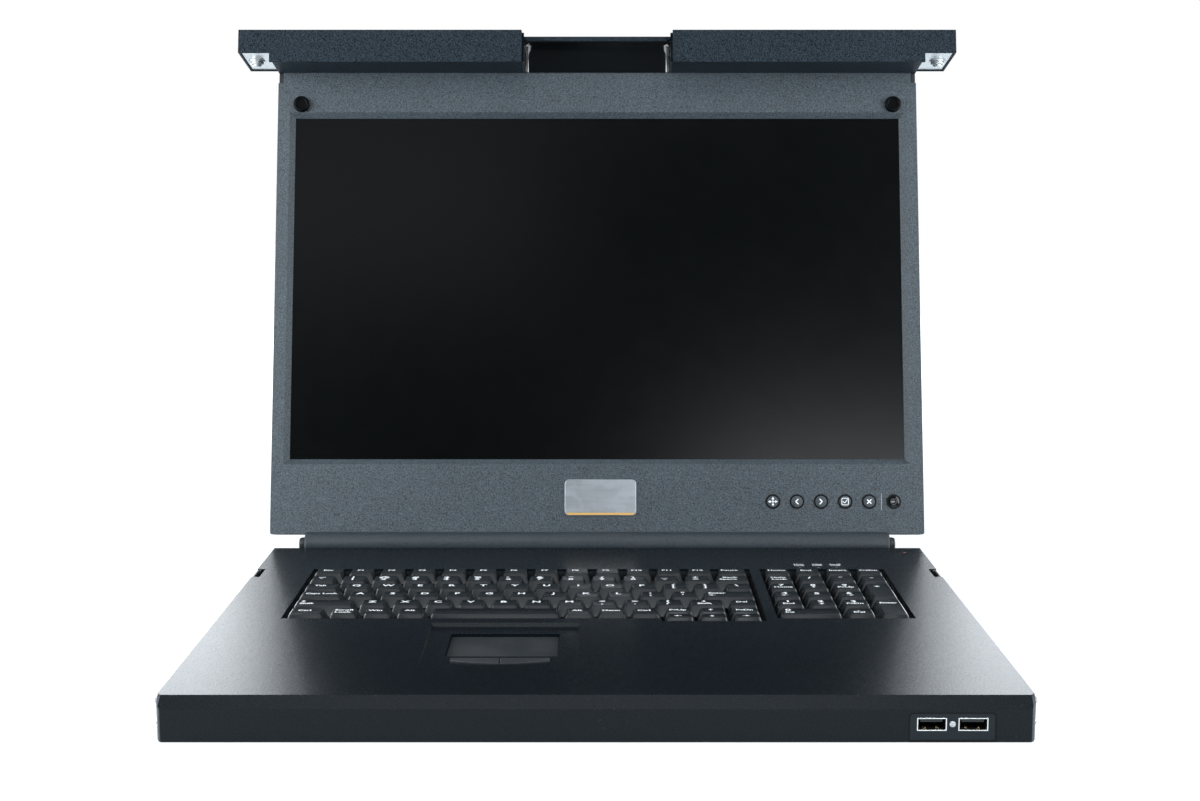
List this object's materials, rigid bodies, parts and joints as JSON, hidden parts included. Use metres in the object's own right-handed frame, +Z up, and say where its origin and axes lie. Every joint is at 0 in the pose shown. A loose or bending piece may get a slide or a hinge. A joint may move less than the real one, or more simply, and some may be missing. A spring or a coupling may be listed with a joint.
{
  "type": "rackmount lcd console drawer",
  "caption": "Rack drawer console, 1U when shut: steel tray with keyboard, touchpad and front USB, and a hinged lid with a wide screen and a 19 inch front bar.",
  "frame": {"origin": "centre of the tray's flat bottom, on the surface that it rests on", "axes": "+X to the user's right, +Y away from the user towards the hinge, +Z up"},
  "size_m": [0.4826, 0.4261, 0.362],
  "materials": {
    "deck_paint": "satin",
    "lid_paint": "fine texture",
    "bare_steel": "zinc plated",
    "black_steel": "black",
    "nickel": "bright",
    "key_plastic": "matt",
    "black_plastic": "matt",
    "gloss_black": "gloss",
    "white_plastic": "matt",
    "rubber": "matt",
    "screen_black": "anti-glare",
    "module_metal": "foil and plastic stack",
    "board_green": "circuit board",
    "lamp_clear": "clear",
    "badge_silver": "satin"
  },
  "bodies": {
    "tray": {"base_pan": "bare_steel", "deck_cover": "deck_paint", "hinge_brackets": "black_steel", "hinge_pins": "black_steel", "indicator_lamps": "lamp_clear", "keyboard_backplate": "bare_steel", "keyboard_controller_board": "board_green", "keyboard_membrane": "black_plastic", "keyboard_tub": "black_plastic", "power_jack": "black_plastic", "slide_member_left": "bare_steel", "slide_member_right": "bare_steel", "touchpad_housing": "black_plastic", "touchpad_surface": "black_plastic", "tray_screws": "black_steel", "usb_b_socket": "nickel", "usb_hub_board": "board_green", "usb_module_face": "black_plastic", "usb_ports": "nickel", "usb_tongues": "white_plastic", "video_socket": "nickel"},
    "lid": {"lid_front_frame": "lid_paint", "lid_back_cover": "lid_paint", "lid_screws": "black_steel", "lid_bumpers": "rubber", "badge_plate": "badge_silver", "screen_glass": "screen_black", "screen_module": "module_metal", "screen_driver_board": "board_green", "control_board": "board_green", "rack_bar": "lid_paint", "handle_cup": "gloss_black", "ear_plates": "bare_steel", "hinge_barrel": "lid_paint"},
    "function_keys": {"function_keys": "key_plastic"},
    "number_keys": {"number_keys": "key_plastic"},
    "backspace_key": {"backspace_key": "key_plastic"},
    "qwerty_keys": {"qwerty_keys": "key_plastic"},
    "home_row_keys": {"home_row_keys": "key_plastic"},
    "enter_key": {"enter_key": "key_plastic"},
    "shift_row_keys": {"shift_row_keys": "key_plastic"},
    "modifier_keys": {"modifier_keys": "key_plastic"},
    "space_bar": {"space_bar": "key_plastic"},
    "arrow_keys": {"arrow_keys": "key_plastic"},
    "keypad_keys": {"keypad_keys": "key_plastic"},
    "keypad_plus_key": {"keypad_plus_key": "key_plastic"},
    "keypad_enter_key": {"keypad_enter_key": "key_plastic"},
    "keypad_zero_key": {"keypad_zero_key": "key_plastic"},
    "menu_button": {"menu_button": "black_plastic"},
    "left_button": {"left_button": "black_plastic"},
    "right_button": {"right_button": "black_plastic"},
    "select_button": {"select_button": "black_plastic"},
    "exit_button": {"exit_button": "black_plastic"},
    "power_button": {"power_button": "black_plastic"},
    "touchpad_button_left": {"touchpad_button_left": "black_plastic"},
    "touchpad_button_right": {"touchpad_button_right": "black_plastic"},
    "side_catch_left": {"side_catch_left": "black_plastic"},
    "side_catch_right": {"side_catch_right": "black_plastic"},
    "captive_screw_left": {"captive_screw_left": "bare_steel"},
    "captive_screw_right": {"captive_screw_right": "bare_steel"}
  },
  "joints": [
    {"name": "lid_hinge", "type": "hinge", "parent": "tray", "child": "lid", "pos_m": [0, 0.14895, 0.0227], "axis": [1, 0, 0], "range_deg": [-5, 104.2]},
    {"name": "function_keys_press", "type": "slide", "parent": "tray", "child": "function_keys", "axis": [0, 0, -1], "range_m": [0, 0.0025], "stiffness_N_per_m": 3360, "springref_m": -0.0015},
    {"name": "number_keys_press", "type": "slide", "parent": "tray", "child": "number_keys", "axis": [0, 0, -1], "range_m": [0, 0.0025], "stiffness_N_per_m": 3120, "springref_m": -0.0015},
    {"name": "backspace_key_press", "type": "slide", "parent": "tray", "child": "backspace_key", "axis": [0, 0, -1], "range_m": [0, 0.0025], "stiffness_N_per_m": 240, "springref_m": -0.0015},
    {"name": "qwerty_keys_press", "type": "slide", "parent": "tray", "child": "qwerty_keys", "axis": [0, 0, -1], "range_m": [0, 0.0025], "stiffness_N_per_m": 3360, "springref_m": -0.0015},
    {"name": "home_row_keys_press", "type": "slide", "parent": "tray", "child": "home_row_keys", "axis": [0, 0, -1], "range_m": [0, 0.0025], "stiffness_N_per_m": 2880, "springref_m": -0.0015},
    {"name": "enter_key_press", "type": "slide", "parent": "tray", "child": "enter_key", "axis": [0, 0, -1], "range_m": [0, 0.0025], "stiffness_N_per_m": 480, "springref_m": -0.0015},
    {"name": "shift_row_keys_press", "type": "slide", "parent": "tray", "child": "shift_row_keys", "axis": [0, 0, -1], "range_m": [0, 0.0025], "stiffness_N_per_m": 3120, "springref_m": -0.0015},
    {"name": "modifier_keys_press", "type": "slide", "parent": "tray", "child": "modifier_keys", "axis": [0, 0, -1], "range_m": [0, 0.0025], "stiffness_N_per_m": 1680, "springref_m": -0.0015},
    {"name": "space_bar_press", "type": "slide", "parent": "tray", "child": "space_bar", "axis": [0, 0, -1], "range_m": [0, 0.0025], "stiffness_N_per_m": 960, "springref_m": -0.0015},
    {"name": "arrow_keys_press", "type": "slide", "parent": "tray", "child": "arrow_keys", "axis": [0, 0, -1], "range_m": [0, 0.0025], "stiffness_N_per_m": 1440, "springref_m": -0.0015},
    {"name": "keypad_keys_press", "type": "slide", "parent": "tray", "child": "keypad_keys", "axis": [0, 0, -1], "range_m": [0, 0.0025], "stiffness_N_per_m": 4320, "springref_m": -0.0015},
    {"name": "keypad_plus_key_press", "type": "slide", "parent": "tray", "child": "keypad_plus_key", "axis": [0, 0, -1], "range_m": [0, 0.0025], "stiffness_N_per_m": 480, "springref_m": -0.0015},
    {"name": "keypad_enter_key_press", "type": "slide", "parent": "tray", "child": "keypad_enter_key", "axis": [0, 0, -1], "range_m": [0, 0.0025], "stiffness_N_per_m": 480, "springref_m": -0.0015},
    {"name": "keypad_zero_key_press", "type": "slide", "parent": "tray", "child": "keypad_zero_key", "axis": [0, 0, -1], "range_m": [0, 0.0025], "stiffness_N_per_m": 480, "springref_m": -0.0015},
    {"name": "menu_button_press", "type": "slide", "parent": "lid", "child": "menu_button", "axis": [0, 0.9694, -0.2453], "range_m": [0, 0.0008], "stiffness_N_per_m": 1500, "springref_m": -0.0005},
    {"name": "left_button_press", "type": "slide", "parent": "lid", "child": "left_button", "axis": [0, 0.9694, -0.2453], "range_m": [0, 0.0008], "stiffness_N_per_m": 1500, "springref_m": -0.0005},
    {"name": "right_button_press", "type": "slide", "parent": "lid", "child": "right_button", "axis": [0, 0.9694, -0.2453], "range_m": [0, 0.0008], "stiffness_N_per_m": 1500, "springref_m": -0.0005},
    {"name": "select_button_press", "type": "slide", "parent": "lid", "child": "select_button", "axis": [0, 0.9694, -0.2453], "range_m": [0, 0.0008], "stiffness_N_per_m": 1500, "springref_m": -0.0005},
    {"name": "exit_button_press", "type": "slide", "parent": "lid", "child": "exit_button", "axis": [0, 0.9694, -0.2453], "range_m": [0, 0.0008], "stiffness_N_per_m": 1500, "springref_m": -0.0005},
    {"name": "power_button_press", "type": "slide", "parent": "lid", "child": "power_button", "axis": [0, 0.9694, -0.2453], "range_m": [0, 0.0008], "stiffness_N_per_m": 1500, "springref_m": -0.0005},
    {"name": "touchpad_button_left_press", "type": "slide", "parent": "tray", "child": "touchpad_button_left", "axis": [0, 0, -1], "range_m": [0, 0.0008], "stiffness_N_per_m": 1200, "springref_m": -0.0005},
    {"name": "touchpad_button_right_press", "type": "slide", "parent": "tray", "child": "touchpad_button_right", "axis": [0, 0, -1], "range_m": [0, 0.0008], "stiffness_N_per_m": 1200, "springref_m": -0.0005},
    {"name": "side_catch_left_slide", "type": "slide", "parent": "tray", "child": "side_catch_left", "axis": [1, 0, 0], "range_m": [0, 0.002], "stiffness_N_per_m": 1500, "springref_m": -0.001},
    {"name": "side_catch_right_slide", "type": "slide", "parent": "tray", "child": "side_catch_right", "axis": [-1, 0, 0], "range_m": [0, 0.002], "stiffness_N_per_m": 1500, "springref_m": -0.001},
    {"name": "captive_screw_left_turn", "type": "hinge", "parent": "lid", "child": "captive_screw_left", "pos_m": [-0.23255, 0.23131, 0.35185], "axis": [0, 0.2453, 0.9694], "continuous": true},
    {"name": "captive_screw_right_turn", "type": "hinge", "parent": "lid", "child": "captive_screw_right", "pos_m": [0.23255, 0.23131, 0.35185], "axis": [0, 0.2453, 0.9694], "continuous": true}
  ]
}
